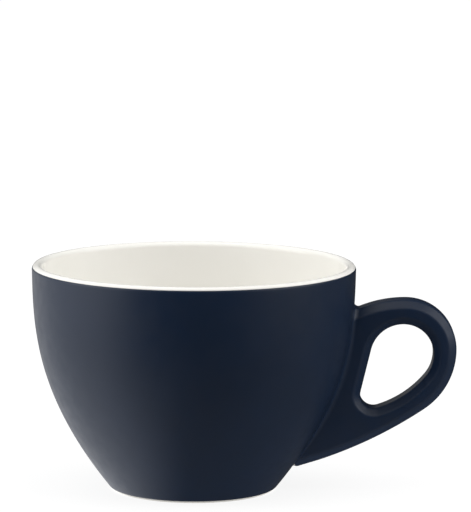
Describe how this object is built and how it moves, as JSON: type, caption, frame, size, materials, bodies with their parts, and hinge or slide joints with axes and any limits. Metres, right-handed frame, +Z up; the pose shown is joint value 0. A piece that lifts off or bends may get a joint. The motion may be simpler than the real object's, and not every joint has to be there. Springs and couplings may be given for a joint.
{
  "type": "coffee cup",
  "caption": "Round coffee cup with a tapering bowl, a teardrop loop handle for a finger, a dark satin glaze outside, a white gloss glaze inside and a bare foot ring.",
  "frame": {"origin": "middle of the bounding box's underside, on the table. The bowl's own axis is 15.60 mm towards -X from it, because the handle stands out to +X.", "axes": "+X from the bowl towards the handle, +Z up, +Y completes a right-handed frame; the cup is the same on both sides of the XZ plane"},
  "size_m": [0.1312, 0.1, 0.0702],
  "materials": {
    "porcelain": "bare fired porcelain, matte",
    "handle_porcelain": "bare fired porcelain, matte",
    "slip": "fired slip, matte",
    "dark_blue_glaze": "satin",
    "dark_blue_handle_glaze": "satin",
    "white_glaze": "gloss",
    "white_foot_glaze": "gloss"
  },
  "bodies": {
    "root": {"bowl": "porcelain", "handle": "handle_porcelain", "luting_slip": "slip", "outer_glaze": "dark_blue_glaze", "handle_glaze": "dark_blue_handle_glaze", "inner_glaze": "white_glaze", "foot_glaze": "white_foot_glaze"}
  },
  "joints": []
}
